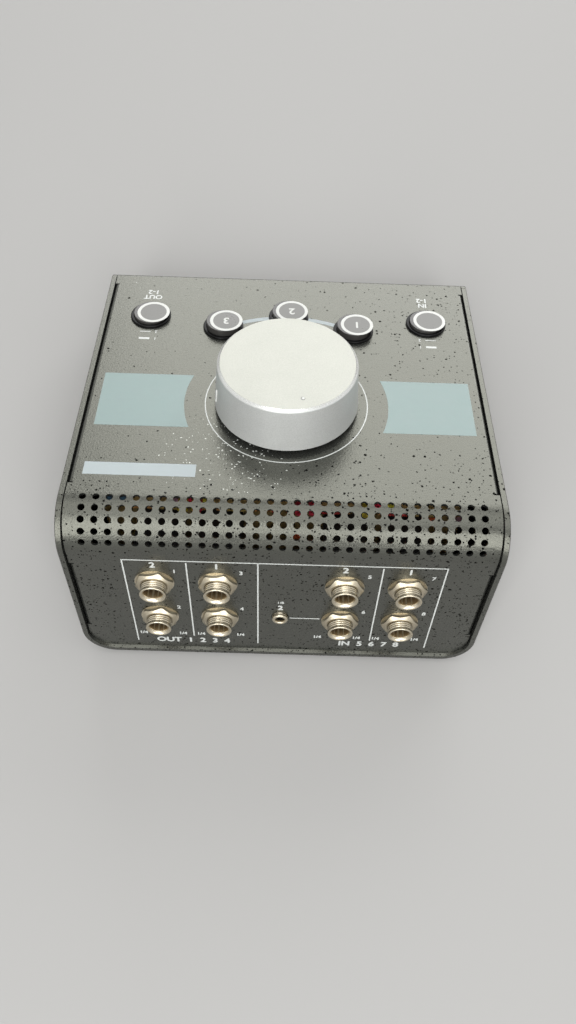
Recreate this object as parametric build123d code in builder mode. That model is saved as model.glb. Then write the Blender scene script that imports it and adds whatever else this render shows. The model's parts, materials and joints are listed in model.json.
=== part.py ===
from build123d import *
import os
from math import cos, degrees, radians, sin, tan

os.makedirs("parts", exist_ok=True)

# Case: a folded steel cover that drops between the cheeks of a folded steel tray.
body_width = 151.8          # over the tray's two cheeks
deck_length = 136.9         # along the sloping deck, front lip to rear panel face
panel_height = 76.2         # along the rear panel, deck plane to lower edge
deck_tilt = 20.0            # slope of the deck, degrees
bend_radius = 14.5          # outside radius of the perforated bend
lip_radius = 2.0            # outside radius of the front fold
cover_sheet = 1.2
tray_sheet = 2.0
tray_corner = 12.0          # outside radius along the tray's long lower edges
tray_reveal = 1.2           # how far the tray stands out behind the rear panel
tray_edge = 0.3             # chamfer along the cheeks' outer edges
side_gap = 0.4              # cover to cheek
edge_gap = 0.3              # cover to tray floor
flange_depth = 11.0         # the cover's side flanges, where the screws hold
fold_radius = 1.5           # outside radius of the side flanges' folds
relief_width = 0.6          # slot at each end of a side flange
relief_depth = 1.7
deck_flange_ends = (19.1, 129.4)      # distances from the rear panel face
panel_flange_ends = (21.6, 61.0)      # distances below the deck plane

# Perforation along the bend.
vent_columns = 31
vent_rows = 5
vent_pitch = 4.5
vent_row_pitch = 4.08       # along the outside of the bend
vent_lead = 1.7             # from the start of the bend to the first row
vent_hole = 2.45

# Rubber feet.
foot_height = 3.0
foot_diameter = 13.0
foot_taper = 1.0
foot_edge = 0.5
foot_inset_side = 19.5
foot_inset_end = 18.0

# Countersunk screws through the cheeks.
screw_diameter = 3.0
screw_head = 5.6
screw_head_height = 1.3
screw_length = 6.0
screw_slot_length = 2.8
screw_slot_width = 0.6
screw_slot_depth = 0.8
screw_clearance = 0.15
screw_drop = 7.0            # from the cover's outer face to the screw line
deck_screws = (40.0, 108.0)
panel_screw = 42.0

# Volume knob, machined from bar and bored out below.
knob_back = 60.6            # from the rear panel face, along the deck
knob_diameter = 53.0        # at its lower edge
knob_top_diameter = 50.2    # below the chamfer
knob_top = 19.9             # above the deck
knob_lift = 2.2
knob_wall = 3.4
knob_roof = 4.6
knob_chamfer = 1.0
hub_diameter = 14.0
hub_lift = 5.2
pointer_width = 1.1
pointer_depth = 0.35
pointer_length = 5.6
pointer_lift = 5.4          # from the deck to the pointer's lower end
pointer_turn = 14.0         # pointer's angle from +X towards the rear, degrees
grub_diameter = 3.0
grub_length = 4.5
grub_socket = 0.85          # hexagon's corner radius
grub_rise = 9.5

# Rotary potentiometer.
shaft_diameter = 6.0
shaft_clearance = 0.05
shaft_top = 14.6
shaft_flat = 2.2            # shaft axis to its flat
shaft_edge = 0.5
shaft_root = -11.0
bushing_diameter = 7.0
bushing_top = 4.2
pot_width = 17.0
pot_depth = 20.0
pot_gap = 1.6               # deck's inner face to the pot's case
pot_case_edge = 1.0
bushing_edge = 0.4
nut_flats = 10.0
nut_height = 2.0
washer_height = 0.5
washer_diameter = 12.0
thread_clearance = 0.1

# Push buttons and their switches.
cap_diameter = 13.4
cap_stand = 3.4             # top of a released cap over the deck
cap_height = 7.6
cap_round = 0.2
latch_depth = 1.4           # how much lower a latched cap stands
cap_clearance = 0.2
bezel_diameter = 16.2
bezel_height = 0.9
bezel_barrel = 15.0
bezel_depth = 5.0
bezel_round = 0.4
plunger_diameter = 3.4
plunger_clearance = 0.06
plunger_length = 11.0
socket_depth = 3.5
switch_width = 8.4
switch_height = 8.5
switch_floor = 1.0
select_inset = 19.8         # from the body's side
select_back = 109.1         # from the rear panel face
arc_button_radius = 50.2              # the other three stand on an arc about the knob
arc_button_turns = {"dim": 31.5, "mute": 0.0, "mono": -31.5}   # degrees from the rear-to-front line

# Circuit boards and what holds them.
board_thickness = 1.6
main_board_drop = 16.0      # deck plane to the board's upper face
board_corner = 2.0
main_board_margin = 8.5     # from the body's sides
main_board_ends = (33.0, 122.0)
standoff_flats = 5.0
standoff_inset = 6.0        # from the board's sides
standoff_backs = (38.0, 92.0)
board_screw_head = 5.5
board_screw_head_height = 1.8
board_screw_length = 5.0
jack_board_margin = 10.5    # from the body's sides
jack_board_top = 13.5       # below the deck plane
jack_board_foot = 12.0      # above the rear panel's lower edge
header_length = 26.0
header_width = 6.0
header_height = 5.5
main_header_back = 46.0
jack_header_drop = 52.0
ribbon_width = 23.0
ribbon_thickness = 0.9
ribbon_bend = 8.0

# Quarter-inch jacks, in two rows, and the small jack between the groups.
jack_group = 33.7           # from the middle to the middle of each group
jack_pitch = 22.4           # across a group
jack_first_row = 30.7       # below the deck plane
jack_row_pitch = 22.4
jack_reach = 6.3            # sleeve's mouth, out from the rear panel face
jack_sleeve = 9.4
jack_bore = 6.4
jack_mouth = 0.8            # chamfer inside the mouth
jack_edge = 0.3             # chamfer outside the mouth
jack_box_width = 15.6
jack_box_height = 17.0
jack_box_depth = 25.3       # behind the rear panel's inner face
jack_seat = 2.0             # how far the sleeve stands in the box
jack_floor = 1.0            # what is left of the box behind the bore
jack_nut_flats = 12.4
jack_nut_height = 2.2
jack_nut_bevel = 30.0       # slope of the turned-down corners, degrees
jack_nut_turns = (12, 8, 0, 5, 20, 14, 0, 4)
jack_washer = 14.0
jack_washer_height = 0.6
panel_clearance = 0.25
mini_drop = 52.3
mini_reach = 1.6
mini_sleeve = 6.0
mini_bore = 3.6
mini_depth = 16.0           # bore's length from the mouth
mini_mouth = 0.5            # chamfers inside and outside the mouth
mini_box_width = 9.0

# Parts along the jack board's upper edge.
resistor_length = 6.3
resistor_diameter = 2.4
resistor_lift = 0.1
resistor_pitch = 8.4
resistor_count = 14
resistor_drop = 19.5
capacitor_diameter = 4.0
capacitor_height = 5.5
capacitor_places = (-36.0, -31.0, 6.0, 11.0, 30.0)
capacitor_drop = 15.8

# Places worked out from the sizes above.
slope = radians(deck_tilt)
cover_width = body_width - 2 * (tray_sheet + side_gap)
floor_top = foot_height + tray_sheet
cover_bottom = floor_top + edge_gap
corner_z = cover_bottom + panel_height * cos(slope)
rear_reach = tray_reveal / cos(slope) + (corner_z - foot_height) * tan(slope)
corner_y = (deck_length * cos(slope) - rear_reach) / 2
front_y = corner_y - deck_length * cos(slope)
front_z = corner_z - deck_length * sin(slope)
big = 2 * (body_width + deck_length)

deck = Plane(origin=(0, corner_y, corner_z), x_dir=(1, 0, 0), z_dir=(0, -sin(slope), cos(slope)))
panel = Plane(origin=(0, corner_y, corner_z), x_dir=(-1, 0, 0), z_dir=(0, cos(slope), sin(slope)))


def side_point(back, drop):
    """A point of the side view, by its distances from the rear panel face and the deck plane."""
    return (
        corner_y - back * cos(slope) + drop * sin(slope),
        corner_z - back * sin(slope) - drop * cos(slope),
    )


def deck_plane(x, back, rise=0.0):
    """A plane parallel to the deck, over a place on it."""
    return Plane(deck.from_local_coords((x, -back, rise)), x_dir=deck.x_dir, z_dir=deck.z_dir)


def panel_plane(x, drop, out=0.0):
    """A plane parallel to the rear panel, facing out; x runs to the left seen from the front."""
    return Plane(panel.from_local_coords((x, -drop, out)), x_dir=panel.x_dir, z_dir=panel.z_dir)


def side_plane(side, back, drop):
    """A plane on the outside of one cheek, facing out."""
    y, z = side_point(back, drop)
    return Plane((side * body_width / 2, y, z), x_dir=(0, 1, 0), z_dir=(side, 0, 0))


screw_places = [(back, screw_drop) for back in deck_screws] + [(screw_drop, panel_screw)]
screw_planes = [side_plane(side, *place) for side in (1, -1) for place in screw_places]
knob_plane = deck_plane(0, knob_back)
knob_axis = Axis(knob_plane.origin, knob_plane.z_dir)
jack_rows = (jack_first_row, jack_first_row + jack_row_pitch)
jack_columns = [
    side * jack_group + step * jack_pitch / 2 for side in (-1, 1) for step in (-1, 1)
]
jack_places = [(x, drop) for drop in jack_rows for x in jack_columns]

# Each button's place on the deck and how far it is latched down.
select_x = body_width / 2 - select_inset
buttons = {
    "input_select": (-select_x, select_back, latch_depth),
    "output_select": (select_x, select_back, latch_depth),
}
for name, turn in arc_button_turns.items():
    across = arc_button_radius * sin(radians(turn))
    along = arc_button_radius * cos(radians(turn))
    buttons[name] = (across, knob_back + along, 0.0)


def save(piece, name):
    piece.part.label = name
    export_step(piece.part, f"parts/{name}.step")


# Top cover: lip, deck, perforated bend and rear panel are one folded sheet with side flanges.
with BuildPart() as top_cover:
    with BuildSketch(Plane.YZ):
        with BuildLine():
            FilletPolyline(
                (front_y, foot_height),
                (front_y, front_z),
                (corner_y, corner_z),
                side_point(0, panel_height + tray_sheet),
                radius=(lip_radius, bend_radius),
            )
            offset(amount=cover_sheet, side=Side.RIGHT)
        make_face()
    extrude(amount=cover_width / 2, both=True)
    with BuildSketch(Plane.XZ) as cover_end:
        with Locations((0, cover_bottom)):
            Rectangle(cover_width, big, align=(Align.CENTER, Align.MIN))
        fillet(
            cover_end.vertices().group_by(Axis.Y)[0],
            radius=tray_corner - tray_sheet - side_gap,
        )
    extrude(amount=big, both=True, mode=Mode.INTERSECT)
    for plane, ends in ((deck, deck_flange_ends), (panel, panel_flange_ends)):
        run = ends[1] - ends[0]
        with BuildSketch(plane):
            with Locations((0, -(ends[0] + ends[1]) / 2)):
                with GridLocations(cover_width - relief_depth, 1, 2, 1):
                    Rectangle(relief_depth, run + 2 * relief_width)
        extrude(amount=-cover_sheet, mode=Mode.SUBTRACT)
        flange_start = plane.from_local_coords((0, -ends[0], 0))
        with BuildSketch(Plane(flange_start, x_dir=plane.x_dir, z_dir=-plane.y_dir)):
            with BuildLine():
                FilletPolyline(
                    (cover_width / 2 - relief_depth, 0),
                    (cover_width / 2, 0),
                    (cover_width / 2, -flange_depth),
                    radius=fold_radius,
                )
                offset(amount=cover_sheet, side=Side.RIGHT)
            make_face()
            mirror(about=Plane.YZ)
        extrude(amount=run)
    for row in range(vent_rows):
        turn = degrees((vent_lead + row * vent_row_pitch) / bend_radius)
        row_plane = deck_plane(0, bend_radius, -bend_radius).rotated((-turn, 0, 0))
        with BuildSketch(row_plane.offset(bend_radius - 2 * cover_sheet)):
            with GridLocations(vent_pitch, 1, vent_columns, 1):
                Circle(vent_hole / 2)
        extrude(amount=3 * cover_sheet, mode=Mode.SUBTRACT)
    with BuildSketch(deck):
        with Locations((0, -knob_back)):
            Circle(bushing_diameter / 2 + panel_clearance)
        with Locations(*[(x, -back) for x, back, down in buttons.values()]):
            Circle(bezel_barrel / 2 + panel_clearance)
    extrude(amount=-cover_sheet, mode=Mode.SUBTRACT)
    with BuildSketch(panel):
        with Locations(*[(x, -drop) for x, drop in jack_places]):
            Circle(jack_sleeve / 2 + panel_clearance)
        with Locations((0, -mini_drop)):
            Circle(mini_sleeve / 2 + panel_clearance)
    extrude(amount=-cover_sheet, mode=Mode.SUBTRACT)
    for plane in screw_planes:
        with BuildSketch(plane.offset(-tray_sheet - side_gap)):
            Circle(screw_diameter / 2 + screw_clearance)
        extrude(amount=-cover_sheet, mode=Mode.SUBTRACT)
save(top_cover, "top_cover")

# Base tray: floor and two cheeks folded from one sheet, cheeks cut to the cover's side view.
with BuildPart() as base_tray:
    with BuildSketch(Plane.XZ) as tray_end:
        with Locations((0, foot_height)):
            Rectangle(body_width, big, align=(Align.CENTER, Align.MIN))
        fillet(tray_end.vertices().group_by(Axis.Y)[0], radius=tray_corner)
        with BuildSketch(Plane.XZ, mode=Mode.SUBTRACT) as tray_inside:
            with Locations((0, floor_top)):
                Rectangle(body_width - 2 * tray_sheet, big, align=(Align.CENTER, Align.MIN))
            fillet(tray_inside.vertices().group_by(Axis.Y)[0], radius=tray_corner - tray_sheet)
    extrude(amount=big, both=True)
    with BuildSketch(Plane.YZ):
        with BuildLine():
            edge = FilletPolyline(
                (front_y, 0),
                (front_y, front_z),
                side_point(-tray_reveal, 0),
                (corner_y + tray_reveal / cos(slope) + corner_z * tan(slope), 0),
                radius=(lip_radius, bend_radius),
            )
            Line(edge @ 1, edge @ 0)
        make_face()
    extrude(amount=body_width, both=True, mode=Mode.INTERSECT)
    cheeks = base_tray.faces().filter_by(Axis.X).group_by(Axis.X)
    outer_edges = cheeks[0].edges() + cheeks[-1].edges()
    chamfer(outer_edges.sort_by(Axis.Z)[2:], length=tray_edge)
    with Locations(*screw_planes):
        CounterSinkHole(
            screw_diameter / 2 + screw_clearance,
            screw_head / 2 + screw_clearance,
            depth=tray_sheet,
            counter_sink_angle=90,
        )
save(base_tray, "base_tray")

# Six countersunk screws with cross recesses, flush with the cheeks.
with BuildPart() as cover_screws:
    with Locations(*screw_planes):
        Cylinder(screw_diameter / 2, screw_length, align=(Align.CENTER, Align.CENTER, Align.MAX))
        Cone(
            screw_diameter / 2,
            screw_head / 2,
            screw_head_height,
            align=(Align.CENTER, Align.CENTER, Align.MAX),
        )
        for length, width in (
            (screw_slot_length, screw_slot_width),
            (screw_slot_width, screw_slot_length),
        ):
            Box(
                length,
                width,
                screw_slot_depth,
                align=(Align.CENTER, Align.CENTER, Align.MAX),
                mode=Mode.SUBTRACT,
            )
save(cover_screws, "cover_screws")

# Rubber feet, stuck under the tray's floor near its corners.
with BuildPart() as rubber_feet:
    foot_span_x = body_width - 2 * foot_inset_side
    foot_span_y = corner_y + rear_reach - front_y - 2 * foot_inset_end
    with GridLocations(foot_span_x, foot_span_y, 2, 2):
        Cone(
            foot_diameter / 2 - foot_taper,
            foot_diameter / 2,
            foot_height,
            align=(Align.CENTER, Align.CENTER, Align.MIN),
        )
    chamfer(rubber_feet.edges().filter_by(GeomType.CIRCLE).group_by(Axis.Z)[0], length=foot_edge)
save(rubber_feet, "rubber_feet")

# Volume knob: turned outside, bored out below around a hub, with a milled pointer in its skirt.
knob_section = Plane(knob_plane.origin, x_dir=(1, 0, 0), z_dir=-knob_plane.y_dir)
pointer_way = (
    knob_plane.x_dir * cos(radians(pointer_turn)) + knob_plane.y_dir * sin(radians(pointer_turn))
)
pointer_middle = pointer_lift + pointer_length / 2
skirt_lean = (knob_diameter - knob_top_diameter) / 2 / (knob_top - knob_chamfer - knob_lift)
skirt_radius = knob_diameter / 2 - skirt_lean * (pointer_middle - knob_lift)
skirt_out = (pointer_way + knob_plane.z_dir * skirt_lean).normalized()
skirt_up = (knob_plane.z_dir - pointer_way * skirt_lean).normalized()
pointer_face = (
    knob_plane.origin
    + pointer_way * skirt_radius
    + knob_plane.z_dir * pointer_middle
    - skirt_out * pointer_depth
)
hub_bore = shaft_diameter / 2 + shaft_clearance
with BuildPart() as volume_knob:
    with BuildSketch(knob_section):
        with BuildLine():
            Polyline(
                (0, knob_top),
                (knob_top_diameter / 2 - knob_chamfer, knob_top),
                (knob_top_diameter / 2, knob_top - knob_chamfer),
                (knob_diameter / 2, knob_lift),
                (knob_diameter / 2 - knob_wall, knob_lift),
                (knob_diameter / 2 - knob_wall, knob_top - knob_roof),
                (hub_diameter / 2, knob_top - knob_roof),
                (hub_diameter / 2, hub_lift),
                (hub_bore, hub_lift),
                (hub_bore, shaft_top + shaft_clearance),
                (0, shaft_top + shaft_clearance),
                close=True,
            )
        make_face()
    revolve(axis=knob_axis)
    with BuildSketch(Plane(pointer_face, x_dir=skirt_up, z_dir=skirt_out)):
        SlotOverall(pointer_length, pointer_width)
    extrude(amount=2 * pointer_depth, mode=Mode.SUBTRACT)
    grub_plane = Plane(
        knob_plane.origin + knob_plane.z_dir * grub_rise,
        x_dir=knob_plane.z_dir,
        z_dir=-pointer_way,
    )
    with BuildSketch(grub_plane):
        Circle(grub_diameter / 2 + shaft_clearance)
    extrude(amount=knob_diameter, mode=Mode.SUBTRACT)
save(volume_knob, "volume_knob")

# Grub screw in the hub, hard up to the shaft's flat.
with BuildPart() as knob_grub_screw:
    with BuildSketch(grub_plane.offset(shaft_flat)):
        Circle(grub_diameter / 2)
    extrude(amount=grub_length)
    with BuildSketch(grub_plane.offset(shaft_flat + grub_length)):
        RegularPolygon(grub_socket, 6)
    extrude(amount=-grub_length / 2, mode=Mode.SUBTRACT)
save(knob_grub_screw, "knob_grub_screw")

# Potentiometer shaft with a flat for the grub screw.
with BuildPart() as pot_shaft:
    with BuildSketch(knob_plane.offset(shaft_root)):
        Circle(shaft_diameter / 2)
    extrude(amount=shaft_top - shaft_root)
    chamfer(pot_shaft.faces().sort_by(knob_axis)[-1].edges(), length=shaft_edge)
    with BuildSketch(grub_plane.offset(shaft_flat)):
        Rectangle(2 * (shaft_top - grub_rise), shaft_diameter)
    extrude(amount=shaft_diameter, mode=Mode.SUBTRACT)
save(pot_shaft, "pot_shaft")

# Potentiometer: case on the main board, threaded bushing up through the deck.
pot_top = -cover_sheet - pot_gap
with BuildPart() as volume_pot:
    with BuildSketch(knob_plane.offset(-main_board_drop)):
        Rectangle(pot_width, pot_depth)
    extrude(amount=main_board_drop + pot_top)
    chamfer(volume_pot.faces().sort_by(knob_axis)[-1].edges(), length=pot_case_edge)
    with BuildSketch(knob_plane.offset(pot_top)):
        Circle(bushing_diameter / 2)
    extrude(amount=bushing_top - pot_top)
    chamfer(volume_pot.faces().sort_by(knob_axis)[-1].edges(), length=bushing_edge)
    with BuildSketch(knob_plane.offset(shaft_root - panel_clearance)):
        Circle(shaft_diameter / 2 + shaft_clearance)
    extrude(amount=bushing_top + main_board_drop, mode=Mode.SUBTRACT)
save(volume_pot, "volume_pot")

# Washer and hexagon nut that clamp the bushing to the deck, inside the knob.
with BuildPart() as pot_washer:
    with BuildSketch(knob_plane):
        Circle(washer_diameter / 2)
        Circle(bushing_diameter / 2 + thread_clearance, mode=Mode.SUBTRACT)
    extrude(amount=washer_height)
save(pot_washer, "pot_washer")

with BuildPart() as pot_nut:
    with BuildSketch(knob_plane.offset(washer_height)):
        RegularPolygon(nut_flats / 2, 6, major_radius=False)
        Circle(bushing_diameter / 2 + thread_clearance, mode=Mode.SUBTRACT)
    extrude(amount=nut_height)
save(pot_nut, "pot_nut")

# Push buttons: a cap on a plunger, sliding in a bezel and down into a switch on the board.
for name, (x, back, down) in buttons.items():
    cap_top = cap_stand - down
    socket_top = cap_top - cap_height + socket_depth
    with BuildPart() as button_cap:
        with BuildSketch(deck_plane(x, back, cap_top - cap_height)):
            Circle(cap_diameter / 2)
        extrude(amount=cap_height)
        top_face = button_cap.faces().sort_by(Axis((0, 0, 0), deck.z_dir))[-1]
        fillet(top_face.edges(), radius=cap_round)
        with BuildSketch(deck_plane(x, back, cap_top - cap_height)):
            Circle(plunger_diameter / 2 + plunger_clearance)
        extrude(amount=socket_depth, mode=Mode.SUBTRACT)
    save(button_cap, f"{name}_cap")

    with BuildPart() as plunger:
        with BuildSketch(deck_plane(x, back, socket_top)):
            Circle(plunger_diameter / 2)
        extrude(amount=-plunger_length)
    save(plunger, f"{name}_plunger")

button_places = [(x, -back) for x, back, down in buttons.values()]
with BuildPart() as button_bezels:
    with BuildSketch(deck):
        with Locations(*button_places):
            Circle(bezel_diameter / 2)
    extrude(amount=bezel_height)
    rims = button_bezels.faces().filter_by(deck).group_by(Axis((0, 0, 0), deck.z_dir))[-1]
    fillet(rims.edges(), radius=bezel_round)
    with BuildSketch(deck):
        with Locations(*button_places):
            Circle(bezel_barrel / 2)
    extrude(amount=-bezel_depth)
    with BuildSketch(deck.offset(-bezel_depth)):
        with Locations(*button_places):
            Circle(cap_diameter / 2 + cap_clearance)
    extrude(amount=2 * bezel_depth, mode=Mode.SUBTRACT)
save(button_bezels, "button_bezels")

with BuildPart() as push_switches:
    with BuildSketch(deck.offset(-main_board_drop)):
        with Locations(*button_places):
            Rectangle(switch_width, switch_width)
    extrude(amount=switch_height)
    with BuildSketch(deck.offset(-main_board_drop + switch_floor)):
        with Locations(*button_places):
            Circle(plunger_diameter / 2 + plunger_clearance)
    extrude(amount=switch_height, mode=Mode.SUBTRACT)
save(push_switches, "push_switches")

# Main board under the deck, hung on four standoffs.
main_board_width = body_width - 2 * main_board_margin
main_board_length = main_board_ends[1] - main_board_ends[0]
standoff_x = main_board_width / 2 - standoff_inset
standoff_spots = [(side * standoff_x, -back) for back in standoff_backs for side in (1, -1)]
with BuildPart() as main_board:
    with BuildSketch(deck.offset(-main_board_drop)):
        with Locations((0, -sum(main_board_ends) / 2)):
            RectangleRounded(main_board_width, main_board_length, board_corner)
        with Locations(*standoff_spots):
            Circle(screw_diameter / 2 + screw_clearance, mode=Mode.SUBTRACT)
    extrude(amount=-board_thickness)
save(main_board, "main_board")

with BuildPart() as board_standoffs:
    with BuildSketch(deck.offset(-main_board_drop)):
        with Locations(*standoff_spots):
            RegularPolygon(standoff_flats / 2, 6, major_radius=False)
    extrude(amount=main_board_drop - cover_sheet)
    with BuildSketch(deck.offset(-main_board_drop)):
        with Locations(*standoff_spots):
            Circle(screw_diameter / 2 + shaft_clearance)
    extrude(amount=board_screw_length, mode=Mode.SUBTRACT)
save(board_standoffs, "board_standoffs")

with BuildPart() as board_screws:
    with BuildSketch(deck.offset(-main_board_drop - board_thickness)):
        with Locations(*standoff_spots):
            Circle(board_screw_head / 2)
    extrude(amount=-board_screw_head_height)
    with BuildSketch(deck.offset(-main_board_drop - board_thickness)):
        with Locations(*standoff_spots):
            Circle(screw_diameter / 2)
    extrude(amount=board_screw_length)
save(board_screws, "board_screws")

# Jack board behind the jacks' boxes, parallel to the rear panel.
board_face = -cover_sheet - jack_box_depth
jack_board_width = body_width - 2 * jack_board_margin
jack_board_height = panel_height - jack_board_foot - jack_board_top
with BuildPart() as jack_board:
    with BuildSketch(panel.offset(board_face)):
        with Locations((0, -jack_board_top - jack_board_height / 2)):
            RectangleRounded(jack_board_width, jack_board_height, board_corner)
    extrude(amount=-board_thickness)
save(jack_board, "jack_board")

# Quarter-inch jacks: a plastic box on the board, a threaded metal sleeve out through the panel.
jack_spots = [(x, -drop) for x, drop in jack_places]
with BuildPart() as jack_boxes:
    with BuildSketch(panel.offset(board_face)):
        with Locations(*jack_spots):
            Rectangle(jack_box_width, jack_box_height)
    extrude(amount=jack_box_depth)
    with BuildSketch(panel.offset(board_face + jack_floor)):
        with Locations(*jack_spots):
            Circle(jack_bore / 2)
    extrude(amount=jack_box_depth, mode=Mode.SUBTRACT)
    with BuildSketch(panel.offset(-cover_sheet)):
        with Locations(*jack_spots):
            Circle(jack_sleeve / 2)
    extrude(amount=-jack_seat, mode=Mode.SUBTRACT)
save(jack_boxes, "jack_boxes")

with BuildPart() as jack_sleeves:
    with BuildSketch(panel.offset(-cover_sheet - jack_seat)):
        with Locations(*jack_spots):
            Circle(jack_sleeve / 2)
    extrude(amount=jack_seat + cover_sheet + jack_reach)
    mouths = jack_sleeves.faces().filter_by(panel).group_by(Axis((0, 0, 0), panel.z_dir))[-1]
    chamfer(mouths.edges(), length=jack_edge)
    with BuildSketch(panel.offset(-cover_sheet - jack_seat)):
        with Locations(*jack_spots):
            Circle(jack_bore / 2)
    extrude(amount=jack_seat + cover_sheet + jack_reach, mode=Mode.SUBTRACT)
    mouths = jack_sleeves.faces().filter_by(panel).group_by(Axis((0, 0, 0), panel.z_dir))[-1]
    inner = mouths.edges().filter_by(lambda edge: edge.radius < jack_bore / 2 + jack_edge)
    chamfer(inner, length=jack_mouth)
save(jack_sleeves, "jack_sleeves")

with BuildPart() as jack_washers:
    with BuildSketch(panel):
        with Locations(*jack_spots):
            Circle(jack_washer / 2)
            Circle(jack_sleeve / 2 + thread_clearance, mode=Mode.SUBTRACT)
    extrude(amount=jack_washer_height)
save(jack_washers, "jack_washers")

with BuildPart() as jack_nut:
    with BuildSketch():
        RegularPolygon(jack_nut_flats / 2, 6, major_radius=False)
        Circle(jack_sleeve / 2 + thread_clearance, mode=Mode.SUBTRACT)
    extrude(amount=jack_nut_height)
    Cone(
        jack_nut_flats / 2 + jack_nut_height / tan(radians(jack_nut_bevel)),
        jack_nut_flats / 2,
        jack_nut_height,
        align=(Align.CENTER, Align.CENTER, Align.MIN),
        mode=Mode.INTERSECT,
    )

with BuildPart() as jack_nuts:
    for (x, drop), turn in zip(jack_places, jack_nut_turns):
        with Locations(panel_plane(x, drop, jack_washer_height)):
            add(jack_nut.part, rotation=(0, 0, turn))
save(jack_nuts, "jack_nuts")

# Small jack between the two groups.
with BuildPart() as mini_jack_box:
    with BuildSketch(panel.offset(board_face)):
        with Locations((0, -mini_drop)):
            Rectangle(mini_box_width, mini_box_width)
    extrude(amount=jack_box_depth)
    with BuildSketch(panel.offset(mini_reach - mini_depth)):
        with Locations((0, -mini_drop)):
            Circle(mini_bore / 2)
    extrude(amount=mini_depth, mode=Mode.SUBTRACT)
    with BuildSketch(panel.offset(-cover_sheet)):
        with Locations((0, -mini_drop)):
            Circle(mini_sleeve / 2)
    extrude(amount=-jack_seat, mode=Mode.SUBTRACT)
save(mini_jack_box, "mini_jack_box")

with BuildPart() as mini_jack_sleeve:
    with BuildSketch(panel.offset(-cover_sheet - jack_seat)):
        with Locations((0, -mini_drop)):
            Circle(mini_sleeve / 2)
            Circle(mini_bore / 2, mode=Mode.SUBTRACT)
    extrude(amount=jack_seat + cover_sheet + mini_reach)
    mouth = mini_jack_sleeve.faces().filter_by(panel).sort_by(Axis((0, 0, 0), panel.z_dir))[-1]
    chamfer(mouth.edges(), length=mini_mouth)
save(mini_jack_sleeve, "mini_jack_sleeve")

# Parts soldered along the jack board's upper edge, behind the perforated bend.
with BuildPart() as resistors:
    lie = board_face + resistor_lift + resistor_diameter / 2
    first = -(resistor_count - 1) / 2 * resistor_pitch
    for number in range(resistor_count):
        middle = panel_plane(first + number * resistor_pitch, resistor_drop, lie)
        with Locations(Plane(middle.origin, x_dir=middle.y_dir, z_dir=middle.x_dir)):
            Cylinder(resistor_diameter / 2, resistor_length)
save(resistors, "resistors")

with BuildPart() as capacitors:
    with BuildSketch(panel.offset(board_face)):
        with Locations(*[(x, -capacitor_drop) for x in capacitor_places]):
            Circle(capacitor_diameter / 2)
    extrude(amount=capacitor_height)
save(capacitors, "capacitors")

# Ribbon cable and its two headers, from the main board down and back to the jack board.
with BuildPart() as board_headers:
    with BuildSketch(deck.offset(-main_board_drop - board_thickness)):
        with Locations((0, -main_header_back)):
            Rectangle(header_length, header_width)
    extrude(amount=-header_height)
    with BuildSketch(panel.offset(board_face - board_thickness)):
        with Locations((0, -jack_header_drop)):
            Rectangle(header_length, header_width)
    extrude(amount=-header_height)
save(board_headers, "board_headers")

main_header_end = main_board_drop + board_thickness + header_height
jack_header_end = board_thickness - board_face + header_height
with BuildPart() as ribbon_cable:
    with BuildSketch(Plane.YZ):
        with BuildLine():
            FilletPolyline(
                side_point(main_header_back - ribbon_thickness / 2, main_header_end),
                side_point(main_header_back - ribbon_thickness / 2, jack_header_drop),
                side_point(jack_header_end, jack_header_drop),
                radius=ribbon_bend,
            )
            offset(amount=ribbon_thickness, side=Side.RIGHT)
        make_face()
    extrude(amount=ribbon_width / 2, both=True)
save(ribbon_cable, "ribbon_cable")
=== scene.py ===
import json
from math import cos, pi, radians, sin

import bmesh
import bpy
from mathutils import Matrix, Vector


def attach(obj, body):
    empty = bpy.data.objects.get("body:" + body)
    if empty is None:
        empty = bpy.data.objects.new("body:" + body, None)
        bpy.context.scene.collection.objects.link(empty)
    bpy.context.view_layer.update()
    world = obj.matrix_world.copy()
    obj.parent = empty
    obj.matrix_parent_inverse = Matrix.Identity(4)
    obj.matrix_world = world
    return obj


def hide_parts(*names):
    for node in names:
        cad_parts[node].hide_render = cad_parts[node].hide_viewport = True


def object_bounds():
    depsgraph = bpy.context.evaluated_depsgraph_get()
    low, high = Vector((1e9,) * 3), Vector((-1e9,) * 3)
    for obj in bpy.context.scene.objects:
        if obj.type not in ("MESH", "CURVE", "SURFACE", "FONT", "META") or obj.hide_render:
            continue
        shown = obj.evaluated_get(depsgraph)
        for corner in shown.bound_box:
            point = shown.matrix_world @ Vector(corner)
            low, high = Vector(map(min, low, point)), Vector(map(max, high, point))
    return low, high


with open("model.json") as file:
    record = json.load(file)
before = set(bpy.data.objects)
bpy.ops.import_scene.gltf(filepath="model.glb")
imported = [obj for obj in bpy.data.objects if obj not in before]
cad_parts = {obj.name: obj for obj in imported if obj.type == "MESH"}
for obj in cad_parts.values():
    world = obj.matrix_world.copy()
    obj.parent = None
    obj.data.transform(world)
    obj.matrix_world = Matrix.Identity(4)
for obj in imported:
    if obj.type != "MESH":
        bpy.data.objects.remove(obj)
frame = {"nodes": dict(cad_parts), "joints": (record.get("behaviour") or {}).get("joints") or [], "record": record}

cad_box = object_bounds()
nodes = frame["nodes"]
record = frame["record"]

# Tray: the floor and the two cheeks are folded from one steel sheet, 2 mm thick. It is
# powder-coated with the cover, in a satin dark grey that is spattered with black all over.
# The white specks behind the knob are painted highlights: glints of the lamps on the coat,
# given as white colour.


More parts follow.
